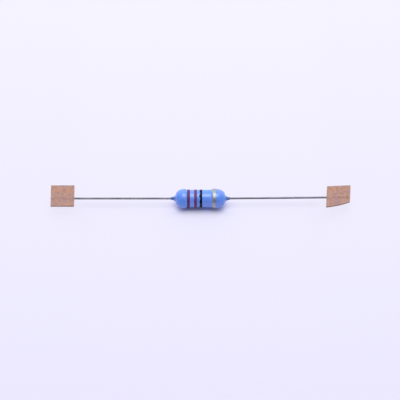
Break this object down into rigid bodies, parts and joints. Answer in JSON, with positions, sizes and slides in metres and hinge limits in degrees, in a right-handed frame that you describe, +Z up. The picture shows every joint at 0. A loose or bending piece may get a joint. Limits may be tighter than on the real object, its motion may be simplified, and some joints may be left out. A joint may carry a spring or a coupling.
{
  "type": "axial resistor",
  "caption": "Axial-lead film resistor: blue lacquered body with colour bands, a tinned wire lead at each end, and a paper tab of carrier tape on each lead.",
  "frame": {"origin": "centre of the body on the axis of the leads, within half a millimetre of the centroid of the whole part", "axes": "+X along the body and the leads, from the first digit band towards the tolerance band; +Z up from the surface that the part lies on; +Y towards the longer, lower side of the paper tabs"},
  "size_m": [0.0762, 0.0101, 0.005],
  "materials": {
    "rod_ceramic": "fired, unglazed",
    "film_alloy": "sputtered metal film, satin",
    "cap_steel": "pressed, tin plated",
    "tinned_wire": "tinned, softly bright",
    "blue_lacquer": "dipped epoxy lacquer, half gloss",
    "red_ink": "printed ink, satin",
    "black_ink": "printed ink, satin",
    "gold_ink": "metallic printed ink",
    "kraft_paper": "unbleached kraft paper"
  },
  "bodies": {
    "root": {"ceramic_rod": "rod_ceramic", "resistive_film": "film_alloy", "end_cap_left": "cap_steel", "end_cap_right": "cap_steel", "lead_left": "tinned_wire", "lead_right": "tinned_wire", "lacquer_coating": "blue_lacquer", "band_first_digit": "red_ink", "band_second_digit": "red_ink", "band_multiplier": "black_ink", "band_tolerance": "gold_ink", "tape_left_upper": "kraft_paper", "tape_left_lower": "kraft_paper", "tape_right_upper": "kraft_paper", "tape_right_lower": "kraft_paper"}
  },
  "joints": []
}
